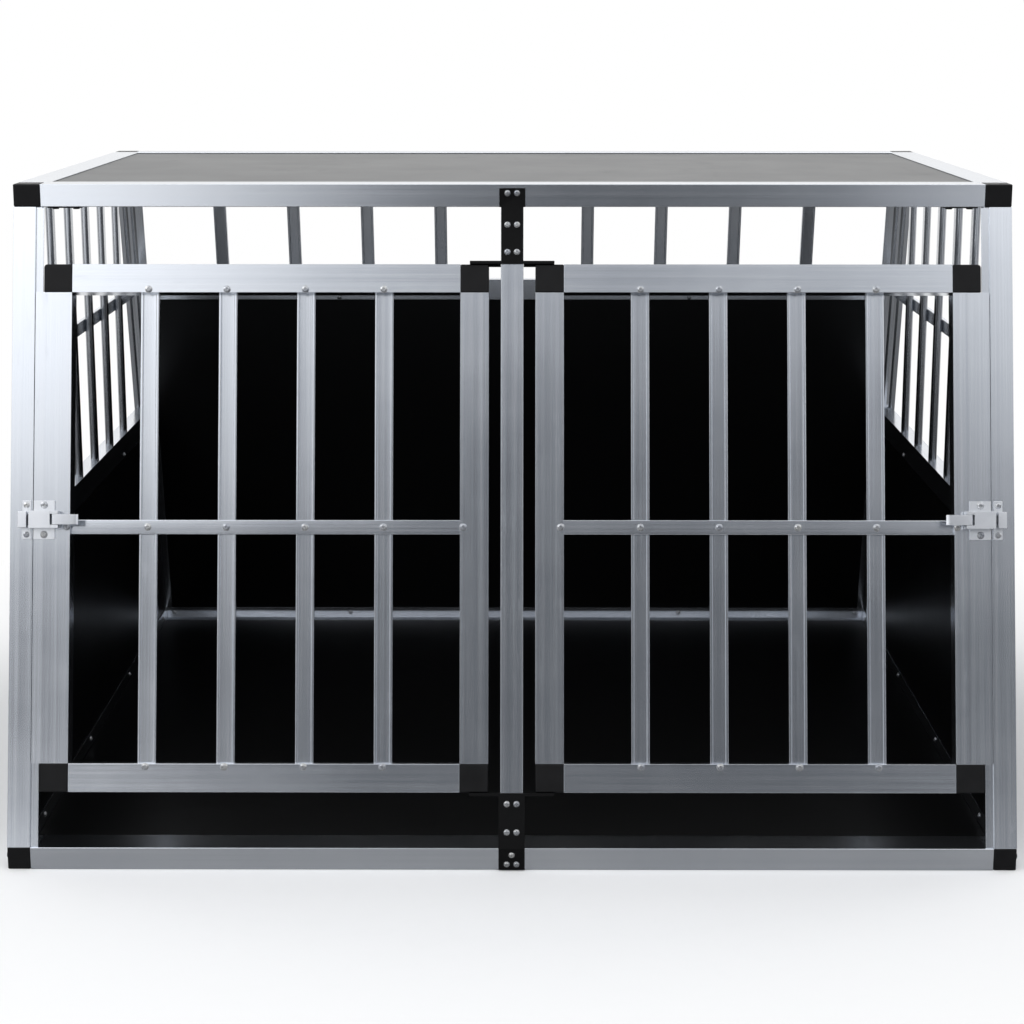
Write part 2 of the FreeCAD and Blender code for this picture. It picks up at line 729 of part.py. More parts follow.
door_stile_span = ("door_bottom + door_tube", "door_top - door_tube")
hinge_blank = member(
    "left_door_hinge_stile_blank", "Z",
    tube_outlines("-door_inner - door_tube", "0", "-door_inner", "door_deep"), *door_stile_span)
keep_pair(cut("left_door_hinge_stile", hinge_blank, mid_room))
latch_blank = member(
    "left_door_latch_stile_blank", "Z",
    tube_outlines("-door_outer", "0", "-door_outer + door_tube", "door_deep"), *door_stile_span)
door_lap = rectangle("-door_outer - door_fin", "0", "-door_outer", "fin_thick")
extend(latch_blank, "Z", [door_lap], *door_stile_span)
keep_pair(cut("left_door_latch_stile", latch_blank, mid_room))


def door_corner(label, x, z, rail_plug, stile_plug):
    """A door's corner cap with one plug for its rail and one for its stile."""
    return corner(label, (x, "0", z), ("door_tube", "door_deep", "door_tube"), [
        box(label + "_rail_plug", rail_plug, "plug_inset", z + " + plug_inset",
            "plug_long", "door_plug_deep", "door_plug_wide"),
        box(label + "_stile_plug", x + " + plug_inset", "plug_inset", stile_plug,
            "door_plug_wide", "door_plug_deep", "plug_long")])


outer_x = "-door_outer"
hinge_x = "-door_inner - door_tube"
high_z = "door_top - door_tube"
low_stile_plug = "door_bottom + door_tube"
high_stile_plug = "door_top - door_tube - plug_long"
outer_rail_plug = "-door_outer + door_tube"
hinge_rail_plug = "-door_inner - door_tube - plug_long"
pivot_bores = group("left_pivot_bores", [
    rod("left_top_bore", "-pivot_side", "pivot_depth", "door_top - pin_long - bore_spare",
        "pin_radius + run_gap", "pin_long + 2 * bore_spare"),
    rod("left_low_bore", "-pivot_side", "pivot_depth", "door_bottom - bore_spare",
        "pin_radius + run_gap", "pin_long + 2 * bore_spare")])
hinge_corners = [
    door_corner("left_hinge_high_corner", hinge_x, high_z, hinge_rail_plug, high_stile_plug),
    door_corner("left_hinge_low_corner", hinge_x, "door_bottom", hinge_rail_plug, low_stile_plug)]
latch_corners = [
    door_corner("left_latch_high_corner", outer_x, high_z, outer_rail_plug, high_stile_plug),
    door_corner("left_latch_low_corner", outer_x, "door_bottom", outer_rail_plug, low_stile_plug)]
bored_corners = [cut(piece.Name + "_bored", piece, pivot_bores) for piece in hinge_corners]
keep_pair(group("left_door_corners", latch_corners + bored_corners))

# The left latch: a channel-shaped housing on a plate, with two ears that hold the lever's pin
latch_low = "latch_height - housing_tall / 2"
plate = box(
    "left_latch_plate", "-door_outer - door_fin + board_gap", "-latch_plate_thick",
    "latch_height - latch_plate_tall / 2", "latch_plate_wide", "latch_plate_thick", "latch_plate_tall")
housing = box(
    "left_latch_box", "-housing_outer", "-housing_out", latch_low,
    "housing_long", "housing_out - latch_plate_thick", "housing_tall")
ears = box(
    "left_latch_ears", "-housing_inner", "-pivot_out - knuckle_radius", latch_low,
    "ear_long", "pivot_out + knuckle_radius - latch_plate_thick", "housing_tall")
channel = box(
    "left_latch_channel", "-housing_outer - overrun", "-housing_out + housing_wall",
    "latch_height - channel_half", "housing_long + 2 * overrun",
    "housing_out - housing_wall - latch_plate_thick", "2 * channel_half")
ear_room = box(
    "left_latch_ear_room", "-housing_inner", "-housing_out", "latch_height - channel_half",
    "overrun", "housing_out - latch_plate_thick", "2 * channel_half")
lever_pin_hole = rod(
    "left_latch_pin_hole", "-lever_pivot", "-pivot_out", latch_low, "latch_pin_radius", "housing_tall")
latch_whole = fuse("left_latch_whole", [plate, housing, ears])
latch_hollow = fuse("left_latch_hollow", [channel, ear_room, lever_pin_hole])
keep_pair(cut("left_latch_base", latch_whole, latch_hollow))
keep_pair(rod(
    "left_latch_pin", "-lever_pivot", "-pivot_out", latch_low, "latch_pin_radius", "housing_tall"))

bolt_bar = box(
    "left_latch_bolt_bar", "-housing_outer - bolt_nose", "-bolt_back - bolt_deep",
    "latch_height - bolt_tall / 2", "bolt_long", "bolt_deep", "bolt_tall")
bolt_notch = box(
    "left_latch_bolt_notch", "-lever_pivot - notch_wide / 2", "-bolt_back - bolt_deep",
    "latch_height - notch_tall / 2", "notch_wide", "bolt_deep", "notch_tall")
keep_pair(cut("left_latch_bolt", bolt_bar, bolt_notch))

# The lever's plan outline has a bevelled tip; its heel reaches into the bolt's notch
lever_start = "-lever_pivot - lever_lead"
lever_end = lever_start + " + lever_long"
lever_outline = [
    (lever_start, "-latch_reach"), (lever_end + " - lever_tip", "-latch_reach"),
    (lever_end, "-latch_reach + lever_thick / 2"), (lever_end, "-latch_reach + lever_thick"),
    (lever_start, "-latch_reach + lever_thick")]
lever_low = "latch_height - bolt_tall / 2"
lever_arm = member("left_lever_arm", "Z", [lever_outline], lever_low, lever_low + " + bolt_tall")
knuckle = rod("left_lever_knuckle", "-lever_pivot", "-pivot_out", lever_low, "knuckle_radius", "bolt_tall")
heel = box(
    "left_lever_heel", "-lever_pivot - heel_wide / 2", "-pivot_out", "latch_height - heel_tall / 2",
    "heel_wide", "heel_reach", "heel_tall")
lever_bore = rod(
    "left_lever_bore", "-lever_pivot", "-pivot_out", lever_low, "latch_pin_radius + run_gap", "bolt_tall")
keep_pair(cut("left_latch_lever", fuse("left_lever_whole", [lever_arm, knuckle, heel]), lever_bore))

# The keeper on the post, with a pocket for the bolt
keeper_plate = box(
    "left_keeper_plate", "-keeper_plate_inner - keeper_plate_wide", "-keeper_plate_thick",
    "latch_height - latch_plate_tall / 2", "keeper_plate_wide", "keeper_plate_thick", "latch_plate_tall")
keeper_box = box(
    "left_keeper_box", "-keeper_mouth - keeper_box_long", "-keeper_box_out",
    "latch_height - keeper_box_tall / 2", "keeper_box_long", "keeper_box_out", "keeper_box_tall")
pocket = box(
    "left_keeper_pocket", "-keeper_mouth - pocket_long", "-bolt_back - bolt_deep - pocket_gap",
    "latch_height - bolt_tall / 2 - pocket_gap", "pocket_long", "bolt_deep + 2 * pocket_gap",
    "bolt_tall + 2 * pocket_gap")
left_keeper = cut("left_keeper", fuse("left_keeper_whole", [keeper_plate, keeper_box]), pocket)
keep(group("latch_keepers", [left_keeper, mirror("right_keeper", left_keeper)]), leaning=True)


def screw(shank_long):
    """A round-headed screw at the origin: its head stands on the XY plane and its shank hangs below."""
    head = Part.makeCone(size("head_radius"), size("shank_radius"), size("head_tall"))
    shank = Part.makeCylinder(size("shank_radius"), size(shank_long), Vector(), Vector(0, 0, -1))
    return head.fuse(shank)


def screws(label, shank_long, places):
    """A group of screws, each given as its place under the head and the way its head faces."""
    shapes = []
    for x, y, z, facing in places:
        place = Vector(size(x), size(y), size(z))
        shape = screw(shank_long)
        shape.Placement = FreeCAD.Placement(place, Rotation(Vector(0, 0, 1), facing))
        shapes.append(shape)
    feature = doc.addObject("Part::Feature", label)
    feature.Shape = Part.makeCompound(shapes)
    return feature


forward = Vector(0, -1, 0)
rightward = Vector(1, 0, 0)
bracket_face = "-bracket_thick"
leaning_places = []
for side in ("-bracket_screw_half", "bracket_screw_half"):
    for height in (
            "post_tall - neck_screw_drop", "post_tall - wing_screw_drop",
            "wing_screw_rise", "neck_screw_rise"):
        leaning_places.append((side, bracket_face, height, forward))
keeper_screw_x = "keeper_plate_inner + keeper_plate_wide / 2"
for x in ("-(%s)" % keeper_screw_x, keeper_screw_x):
    for z in ("latch_height - latch_screw_half", "latch_height + latch_screw_half"):
        leaning_places.append((x, "-keeper_plate_thick", z, forward))
leaning_screws = screws("leaning_frame_screws", "frame_screw_long", leaning_places)
upright_places = [("0", bracket_face, "foot_screw_high", forward)]
for side in ("-bracket_screw_half", "bracket_screw_half"):
    upright_places.append((side, bracket_face, "foot_screw_low", forward))
    upright_places.append((side, "front_set - bracket_thick", "height - head_screw_drop", forward))
upright_screws = screws("upright_frame_screws", "frame_screw_long", upright_places)
leaning_screws_placed = placed("leaning_frame_screws_placed", leaning_screws, True, "0")
keep(group("frame_screws", [leaning_screws_placed, upright_screws]))

# Rivets that hold the boards to the fins, their heads inside the crate
low_rivet_shares = (0.06, 0.35, 0.65, 0.96)
mid_rivet_shares = (0.12, 0.7)
left_rivet_places = []
for height, shares in (
        ("tube + ledge / 2", low_rivet_shares), ("side_mid - fin / 2", mid_rivet_shares)):
    for share in shares:
        along = "(%s) * %s + (%s) * %s" % (slope(height), share, front_back(height), 1 - share)
        left_rivet_places.append(("-inner", along, height, rightward))
inward = Vector(0, -1, -size("lean"))
left_rivet_places += [("-" + across, slope(height), height, inward)
                      for height in ("tube + ledge / 2", "rear_mid - fin / 2")
                      for across in ("rivet_inner", "rivet_outer")]
left_rivets = screws("left_rivets", "rivet_long", left_rivet_places)
keep(group("panel_rivets", [left_rivets, mirror("right_rivets", left_rivets)]))

door_places = []
for number in range(int(size("door_bar_count"))):
    x = "-door_bar_first + %d * door_bar_spacing" % number
    door_places.append((x, "0", "door_top - door_tube + screw_edge", forward))
    door_places.append((x, "0", "door_bottom + door_tube - screw_edge", forward))
for x in ("-door_outer + door_tube - screw_edge", "-door_inner - door_tube + screw_edge"):
    door_places.append((x, "0", "door_middle", forward))
bar_screws = screws("left_door_bar_screws", "door_screw_long", door_places)
crossing_places = [
    ("-door_bar_first + %d * door_bar_spacing" % number, "door_mid_inset", "door_middle", forward)
    for number in range(int(size("door_bar_count")))]
latch_screw_x = "-door_outer - door_fin + board_gap + latch_plate_wide / 2"
latch_places = [
    (latch_screw_x, "-latch_plate_thick", "latch_height - latch_screw_half", forward),
    (latch_screw_x, "-latch_plate_thick", "latch_height + latch_screw_half", forward)]
small_screws = screws("left_door_small_screws", "latch_screw_long", crossing_places + latch_places)
keep_pair(group("left_door_screws", [bar_screws, small_screws]))

doc.recompute()
for item in doc.Objects:
    if "Invalid" in item.State or "Error" in item.State:
        raise RuntimeError("%s failed: %s" % (item.Name, item.State))
os.makedirs("parts", exist_ok=True)
for piece in pieces:
    if piece.Shape.isNull() or not piece.Shape.isValid():
        raise RuntimeError("%s has no valid shape" % piece.Label)
for piece in pieces:
    piece.Shape.exportStep("parts/%s.step" % piece.Label)
print("%d pieces written" % len(pieces))
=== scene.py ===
import json
import math
import bmesh
import bpy
from mathutils import Matrix, Vector


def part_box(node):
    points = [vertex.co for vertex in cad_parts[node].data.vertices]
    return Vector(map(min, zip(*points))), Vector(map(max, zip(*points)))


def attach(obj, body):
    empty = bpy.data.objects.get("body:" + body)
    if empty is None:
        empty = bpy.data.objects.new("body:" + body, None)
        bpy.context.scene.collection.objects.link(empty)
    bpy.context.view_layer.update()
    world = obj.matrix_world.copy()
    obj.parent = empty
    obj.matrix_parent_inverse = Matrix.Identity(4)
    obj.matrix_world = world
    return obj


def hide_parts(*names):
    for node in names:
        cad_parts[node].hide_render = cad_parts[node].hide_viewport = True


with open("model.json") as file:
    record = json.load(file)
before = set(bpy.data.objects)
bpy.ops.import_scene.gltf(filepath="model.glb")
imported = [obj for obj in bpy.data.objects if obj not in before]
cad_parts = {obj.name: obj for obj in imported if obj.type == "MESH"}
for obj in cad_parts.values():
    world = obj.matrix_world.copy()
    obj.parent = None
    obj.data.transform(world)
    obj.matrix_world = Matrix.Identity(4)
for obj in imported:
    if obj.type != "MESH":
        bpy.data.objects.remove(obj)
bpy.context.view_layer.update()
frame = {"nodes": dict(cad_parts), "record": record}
nodes = frame["nodes"]
record = frame["record"]
body_of_node = {node: body for body, held in record["behaviour"]["bodies"].items() for node in held}
slot_of_node = {part["node"]: part["material_slot"] for part in record["subparts"]}


def lean_between(low_rail, high_rail):
    """How far a wall leans back from upright, in radians, from the rails at its foot and its head."""
    foot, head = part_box(low_rail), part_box(high_rail)
    rise = head[0].z - foot[1].z
    outer = 0 if head[0].y < 0 else 1
    return math.atan((head[outer].y - foot[outer].y) / rise)


front_lean = lean_between("front_bottom_rail", "front_top_rail")
rear_lean = lean_between("rear_bottom_rail", "rear_top_rail")
same_spot = 0.000005


# Shader maths
class Wire:
    """A socket of a node tree, so that shader maths can be written as expressions."""

    def __init__(self, finish, socket):
        self.finish = finish
        self.socket = socket

    def maths(self, operation, first, second):
        return self.finish.node("ShaderNodeMath", {"operation": operation}, {0: first, 1: second})

    def __add__(self, other):
        return self.maths("ADD", self, other)

    def __sub__(self, other):
        return self.maths("SUBTRACT", self, other)

    def __mul__(self, other):
        return self.maths("MULTIPLY", self, other)

    def __rsub__(self, other):
        return self.maths("SUBTRACT", other, self)

    def __neg__(self):
        return self.maths("MULTIPLY", self, -1.0)

    __radd__ = __add__
    __rmul__ = __mul__

    def or_larger(self, other):
        return self.maths("MAXIMUM", self, other)

    def distance_to(self, value):
        away = self.maths("SUBTRACT", self, value)
        return self.finish.node("ShaderNodeMath", {"operation": "ABSOLUTE"}, {0: away})

    def between(self, low, high):
        """0 up to low, 1 from high on, and a straight rise between them."""
        return self.finish.node(
            "ShaderNodeMapRange", {"clamp": True}, {"Value": self, "From Min": low, "From Max": high})


class Finish:
    """The node tree of a material or of the world."""

    def __init__(self, owner):
        owner.use_nodes = True
        self.owner = owner
        self.tree = owner.node_tree
        self.tree.nodes.clear()

    def feed(self, socket, value):
        if isinstance(value, Wire):
            self.tree.links.new(value.socket, socket)
        elif isinstance(value, tuple) and socket.type == "RGBA":
            socket.default_value = (*value, 1.0)
        else:
            socket.default_value = value

    def node(self, kind, settings=None, inputs=None, output=0):
        made = self.tree.nodes.new(kind)
        for name, value in (settings or {}).items():
            setattr(made, name, value)
        for name, value in (inputs or {}).items():
            self.feed(made.inputs[name], value)
        return Wire(self, made.outputs[output]) if made.outputs else None

    def blend(self, factor, first, second):
        """A colour between two colours."""
        settings = {"data_type": "RGBA"}
        return self.node("ShaderNodeMix", settings, {0: factor, 6: first, 7: second}, output=2)

    def place(self, turn=(0.0, 0.0, 0.0), stretch=(1.0, 1.0, 1.0)):
        """Object coordinates, turned and then stretched."""
        spot = self.node("ShaderNodeTexCoord", output="Object")
        turned = self.node("ShaderNodeMapping", None, {"Vector": spot, "Rotation": turn})
        return self.node("ShaderNodeMapping", None, {"Vector": turned, "Scale": stretch})

    def noise(self, spot, scale, detail, rough):
        inputs = {"Vector": spot, "Scale": scale, "Detail": detail, "Roughness": rough}
        return self.node("ShaderNodeTexNoise", None, inputs)

    def bump(self, height, distance, strength):
        inputs = {"Height": height, "Distance": distance, "Strength": strength}
        return self.node("ShaderNodeBump", None, inputs)

    def seen_rays(self):
        """Two wires: 1 for rays of the camera, and 1 for rays of gloss and of glass."""
        camera, gloss, glass = [
            self.node("ShaderNodeLightPath", output="Is %s Ray" % kind)
            for kind in ("Camera", "Glossy", "Transmission")]
        return camera, gloss.or_larger(glass)

    def surface(self, **inputs):
        """A Principled surface, its inputs written with underscores for spaces."""
        named = {name.replace("_", " ").title().replace("Ior", "IOR"): value
                 for name, value in inputs.items()}
        shader = self.node("ShaderNodeBsdfPrincipled", None, named)
        self.node("ShaderNodeOutputMaterial", None, {"Surface": shader})
        return self.owner


def new_finish(name):
    return Finish(bpy.data.materials.new(name))


# Finishes of the crate
run_turns = {
    "across": (0.0, math.pi / 2, 0.0),
    "deep": (math.pi / 2, 0.0, 0.0),
    "up": (0.0, 0.0, 0.0),
    "front": (front_lean, 0.0, 0.0),
    "rear": (rear_lean, 0.0, 0.0),
}


def drawn_aluminium(run):
    """Anodised extrusion: die lines along its run, a faint cloud in the oxide and handling marks. The
    bars and posts of the side and rear walls are darker: painted shade for the dark inside of the crate
    that they mirror."""
    f = new_finish("anodised_aluminium_drawn_" + run)
    turn = run_turns[run]
    along = f.place(turn, (1.0, 1.0, 0.003))
    inner_run_painted_shade = run in ("up", "rear")
    fine = f.noise(along, 1400.0, 3.0, 0.6)
    broad = f.noise(along, 110.0 if inner_run_painted_shade else 240.0, 2.0, 0.5)
    lines = fine * 0.5 + broad * 0.5
    cloud = f.noise(f.place(), 8.0, 4.0, 0.6)
    scuffs = f.noise(f.place(turn, (1.0, 1.0, 0.2)), 70.0, 5.0, 0.7).between(0.60, 0.78)
    tone = lines * 0.6 + cloud * 0.4 - scuffs * 0.05
    # Painted shade: the side and rear bars and the rear posts get darkened colours, for the dark inside of
    # the crate that they mirror.
    shade = 0.62 if inner_run_painted_shade else 1.0
    dark, pale = [
        tuple(value * shade for value in colour)
        for colour in ((0.670, 0.702, 0.755), (0.815, 0.843, 0.885))]
    colour = f.blend(tone.between(0.30, 0.70), dark, pale)
    roughness = 0.19 + (lines - 0.5) * 0.12 + (cloud - 0.5) * 0.06 + scuffs * 0.05
    return f.surface(
        base_color=colour, metallic=1.0, roughness=roughness, normal=f.bump(lines, 0.00005, 0.5))


def latch_aluminium():
    """Plain aluminium, lightly brushed."""
    f = new_finish("brushed_aluminium_latch")
    brush = f.noise(f.place(run_turns["across"], (1.0, 1.0, 0.10)), 3200.0, 3.0, 0.65)
    cloud = f.noise(f.place(), 60.0, 3.0, 0.5)
    tone = brush * 0.4 + cloud * 0.6
    colour = f.blend(tone.between(0.30, 0.70), (0.80, 0.82, 0.86), (0.90, 0.92, 0.95))
    return f.surface(
        base_color=colour, metallic=1.0, roughness=0.30 + (brush - 0.5) * 0.12,
        normal=f.bump(brush, 0.00002, 0.25))


def zinc():
    """Bright zinc plating with a slight warm and cool drift."""
    f = new_finish("bright_zinc_fastener")
    grain = f.noise(f.place(), 1100.0, 3.0, 0.6)
    drift = f.noise(f.place(), 80.0, 2.0, 0.5)
    colour = f.blend(drift.between(0.35, 0.65), (0.44, 0.46, 0.50), (0.62, 0.62, 0.61))
    return f.surface(
        base_color=colour, metallic=1.0, roughness=0.20 + grain * 0.14,
        normal=f.bump(grain, 0.00003, 0.5))


def moulded_black():
    """Black glass-filled plastic with the fine grain of its mould."""
    f = new_finish("moulded_black_plastic")
    grain = f.noise(f.place(), 1500.0, 4.0, 0.65)
    flow = f.noise(f.place(), 60.0, 4.0, 0.6)
    tone = grain * 0.5 + flow * 0.5
    colour = f.blend(tone.between(0.32, 0.68), (0.003, 0.003, 0.0034), (0.009, 0.009, 0.010))
    roughness = 0.42 + (flow - 0.5) * 0.20 + (grain - 0.5) * 0.10
    return f.surface(
        base_color=colour, roughness=roughness, specular_ior_level=0.22,
        normal=f.bump(grain, 0.00012, 0.7))


def powder_black():
    """Black powder coat with a fine orange peel."""
    f = new_finish("powder_coated_black_steel")
    peel = f.noise(f.place(), 900.0, 3.0, 0.6)
    patch = f.noise(f.place(), 40.0, 3.0, 0.5)
    colour = f.blend(peel.between(0.3, 0.7), (0.002, 0.002, 0.0022), (0.006, 0.006, 0.0064))
    roughness = 0.50 + (patch - 0.5) * 0.16
    return f.surface(
        base_color=colour, roughness=roughness, specular_ior_level=0.12,
        normal=f.bump(peel, 0.00014, 0.7))


def film_faced_board(place, shine, grain_deep):
    """Black film-faced board: a pressed fine grain, slow waves and a few rubbed places."""
    f = new_finish("black_film_faced_%s_board" % place)
    press = f.noise(f.place(), 620.0, 3.0, 0.6)
    wave = f.noise(f.place(), 11.0, 2.0, 0.5)
    rubbed = f.noise(f.place(run_turns["up"], (1.0, 0.3, 1.0)), 30.0, 5.0, 0.7).between(0.58, 0.84)
    colour = f.blend(rubbed * 0.5 + press * 0.3, (0.0018, 0.0018, 0.0020), (0.0070, 0.0070, 0.0075))
    roughness = 0.33 + (wave - 0.5) * 0.07 + rubbed * 0.05
    return f.surface(
        base_color=colour, roughness=roughness, specular_ior_level=shine,
        specular_tint=(0.94, 0.97, 1.0), normal=f.bump(press, grain_deep, 0.5))


drawn = {run: drawn_aluminium(run) for run in run_turns}
slot_finishes = {
    "latch": latch_aluminium(),
    "fastener": zinc(),
    "connector": moulded_black(),
    "bracket": powder_black(),
    "board": film_faced_board("wall", 0.22, 0.00005),
}
roof_finish = film_faced_board("roof", 0.58, 0.00016)


def run_of(node):
    """Which way a rail, post or bar runs."""
    if node in ("left_bars", "right_bars"):
        return "up"
    if node == "rear_bars" or node.endswith("rear_post"):
        return "rear"
    if "stile" in node or "post" in node or node.endswith("door_bars"):
        return "front"
    if "door" in node or node.startswith(("front_", "rear_")):
        return "across"
    return "deep"


def finish_of(node):
    if node == "roof_panel":
        return roof_finish
    return slot_finishes.get(slot_of_node[node]) or drawn[run_of(node)]


for node, piece in nodes.items():
    for slot in piece.material_slots:
        slot.material = finish_of(node)


# Modelling helpers
def clear_choice():
    """Nothing selected, and every piece in object mode."""
    if bpy.context.object and bpy.context.object.mode != "OBJECT":
        bpy.ops.object.mode_set(mode="OBJECT")
    bpy.ops.object.select_all(action="DESELECT")


def choose(piece):
    clear_choice()
    piece.select_set(True)
    bpy.context.view_layer.objects.active = piece


def pick_faces(test):
    """In edit mode, select just the faces whose middle and normal pass a test."""
    bpy.ops.mesh.select_mode(type="FACE")
    bpy.ops.mesh.select_all(action="DESELECT")
    shape = bmesh.from_edit_mesh(bpy.context.object.data)
    for face in shape.faces:
        face.select_set(test(face.calc_center_median(), face.normal))
    shape.select_flush(True)
    bmesh.update_edit_mesh(bpy.context.object.data)


def bake_modifier(piece, kind, **settings):
    choose(piece)
    added = piece.modifiers.new(kind.title(), kind)
    for name, value in settings.items():
        setattr(added, name, value)
    bpy.ops.object.modifier_apply(modifier=added.name)


def smooth(piece, degrees=40):
    """Rounded edges shade round, and flat faces stay flat."""
    choose(piece)
    bpy.ops.object.shade_smooth_by_angle(angle=math.radians(degrees))
    bake_modifier(piece, "WEIGHTED_NORMAL", weight=100, keep_sharp=True)


def dress(piece, finish, body):
    """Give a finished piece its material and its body."""
    piece.data.materials.clear()
    piece.data.materials.append(finish)
    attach(piece, body)
    return piece


def dress_as(piece, node):
    """Dress a piece as a node of the crate, and show it in that node's place."""
    dress(piece, finish_of(node), body_of_node[node])
    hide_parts(node)
    return piece


# Rails, posts, bars, brackets and latches with their edges rounded
rounding_of_slot = {"tube": 0.0007, "bar": 0.00042, "latch": 0.0005, "bracket": 0.0011}
rounding_of_node = {
    "left_bars": 0.0010, "right_bars": 0.0010,
    "left_front_post": 0.0003, "right_front_post": 0.0003,
    "left_door_latch_stile": 0.0003, "right_door_latch_stile": 0.0003,
}
groove_wide, groove_deep = 0.0062, 0.0012
groove_insets = (0.0085, 0.0180)


def cut_grooves(piece):
    """Cut shallow V grooves along the face of a rear post that looks to the front, each at its inset
    from the post's outer side. The cutter is a bar with a diamond section, turned to the post's lean."""
    points = [point.co.copy() for point in piece.data.vertices]
    low, high = min(p.z for p in points), max(p.z for p in points)
    foot, head = [
        min((p for p in points if abs(p.z - level) < 0.0001), key=lambda p: p.y) for level in (low, high)]
    outer = max(points, key=lambda p: abs(p.x)).x
    rise, lean = head.z - foot.z, head.y - foot.y
    for inset in groove_insets:
        middle = (outer - math.copysign(inset, outer), (foot.y + head.y) / 2, (foot.z + head.z) / 2)
        clear_choice()
        bpy.ops.mesh.primitive_cylinder_add(vertices=4, radius=1.0, depth=1.0, location=middle)
        cutter = bpy.context.object
        cutter.scale = (groove_wide / 2, groove_deep, 1.1 * math.hypot(rise, lean))
        cutter.rotation_euler = (-math.atan2(lean, rise), 0, 0)
        bpy.ops.object.transform_apply()
        bake_modifier(piece, "BOOLEAN", operation="DIFFERENCE", solver="EXACT", object=cutter)
        bpy.data.objects.remove(cutter)


def merged_copy(node):
    """A copy of a node with its loose triangles joined into whole faces."""
    piece = bpy.data.objects.new(node + "_eased", nodes[node].data.copy())
    bpy.context.collection.objects.link(piece)
    choose(piece)
    bpy.ops.object.mode_set(mode="EDIT")
    bpy.ops.mesh.select_all(action="SELECT")
    bpy.ops.mesh.remove_doubles(threshold=same_spot)
    bpy.ops.mesh.dissolve_limited(angle_limit=math.radians(0.5))
    bpy.ops.object.mode_set(mode="OBJECT")
    return piece


def eased(node, width):
    """A copy of a node with its sharp edges rounded. The flat sides of grooves stay flat."""
    piece = merged_copy(node)
    grooved = node.endswith("rear_post")
    if grooved:
        cut_grooves(piece)
    bake_modifier(
        piece, "BEVEL", width=width, segments=2, limit_method="ANGLE", angle_limit=math.radians(40))
    smooth(piece, 18 if grooved else 40)
    return dress_as(piece, node)


def with_round_top_corner(node, radius=0.0050, spare=0.0002):
    """A copy of a door's corner caps with the outer top corner of the door rounded further. The caps are
    cut to a hull that is a little larger than the door and has that one corner rounded."""
    piece = merged_copy(node)
    slope = Matrix.Rotation(-front_lean, 4, "X")
    upright = [slope.inverted() @ point.co for point in piece.data.vertices]
    low, high = [Vector(limit(p[axis] for p in upright) for axis in range(3)) for limit in (min, max)]
    outer = math.copysign(1, low.x + high.x)
    clear_choice()
    bpy.ops.mesh.primitive_cube_add(size=1.0, location=(low + high) / 2)
    hull = bpy.context.object
    hull.scale = high - low + Vector((2 * spare,) * 3)
    bpy.ops.object.transform_apply()
    bpy.ops.object.mode_set(mode="EDIT")
    bpy.ops.mesh.select_mode(type="EDGE")
    bpy.ops.mesh.select_all(action="DESELECT")
    shape = bmesh.from_edit_mesh(hull.data)
    for edge in shape.edges:
        edge.select_set(all(
            point.co.z > high.z and point.co.x * outer > max(-low.x, high.x) for point in edge.verts))
    bmesh.update_edit_mesh(hull.data)
    bpy.ops.mesh.bevel(offset=radius, segments=8, affect="EDGES")
    bpy.ops.object.mode_set(mode="OBJECT")
    hull.data.transform(slope)
    bake_modifier(piece, "BOOLEAN", operation="INTERSECT", solver="EXACT", object=hull)
    bpy.data.objects.remove(hull)
    smooth(piece, 35)
    return dress_as(piece, node)


for side in ("left", "right"):
    with_round_top_corner(side + "_door_corners")
for node in sorted(nodes):
    if slot_of_node[node] in rounding_of_slot:
        eased(node, rounding_of_node.get(node, rounding_of_slot[slot_of_node[node]]))


# Screws and rivets
shank_radius = 0.0015


def lumps_of(node):
    """The separate lumps of a node's mesh, each as a list of its points."""
    shape = bmesh.new()
    shape.from_mesh(nodes[node].data)
    bmesh.ops.remove_doubles(shape, verts=shape.verts, dist=same_spot)
    waiting = set(shape.verts)
    lumps = []
    while waiting:
        lump = [waiting.pop()]
        for point in lump:
            joined = [edge.other_vert(point) for edge in point.link_edges]
            fresh = [other for other in joined if other in waiting]
            waiting.difference_update(fresh)
            lump.extend(fresh)
        lumps.append([point.co.copy() for point in lump])
    shape.free()
    return lumps


def long_axis(points, middle, rounds=60):
    """The direction in which a lump is longest, found by stretching a guess again and again."""
    axis = Vector((0.2, 1.0, 0.3)).normalized()
    for _ in range(rounds):
        axis = sum(((p - middle) * (p - middle).dot(axis) for p in points), Vector()).normalized()
    return axis


def fastener_spots(node):
    """For each fastener of a node: the middle of its head's foot, the way it faces, and its shank."""
    spots = []
    for points in lumps_of(node):
        middle = sum(points, Vector()) / len(points)
        axis = long_axis(points, middle)
        heights = [(p - middle).dot(axis) for p in points]
        widths = [(p - middle - axis * height).length for p, height in zip(points, heights)]
        rim = [height for height, width in zip(heights, widths) if width > 0.95 * max(widths)]
        foot = sum(rim) / len(rim)
        above, below = max(heights) - foot, foot - min(heights)
        facing = axis if above < below else -axis
        spots.append((middle + axis * foot, facing, max(above, below)))
    return sorted(spots, key=lambda spot: tuple(round(value, 4) for value in spot[0]))


def cut_recess_arm(piece, head, tall, turn):
    """Cut one tapered arm of the cross recess out of a screw's head."""
    long, wide, deep = head * 1.30, head * 0.34, tall * 0.72
    clear_choice()
    bpy.ops.mesh.primitive_cube_add(size=1.0, location=(0, 0, tall))
    cutter = bpy.context.object
    cutter.scale = (long, wide, deep * 2)
    cutter.rotation_euler = (0, 0, turn)
    bpy.ops.object.transform_apply()
    bpy.ops.object.mode_set(mode="EDIT")
    pick_faces(lambda middle, normal: normal.z < -0.9)
    bpy.ops.transform.resize(value=(0.5, 0.5, 1.0))
    bpy.ops.object.mode_set(mode="OBJECT")
    bake_modifier(piece, "BOOLEAN", operation="DIFFERENCE", solver="EXACT", object=cutter)
    bpy.data.objects.remove(cutter)


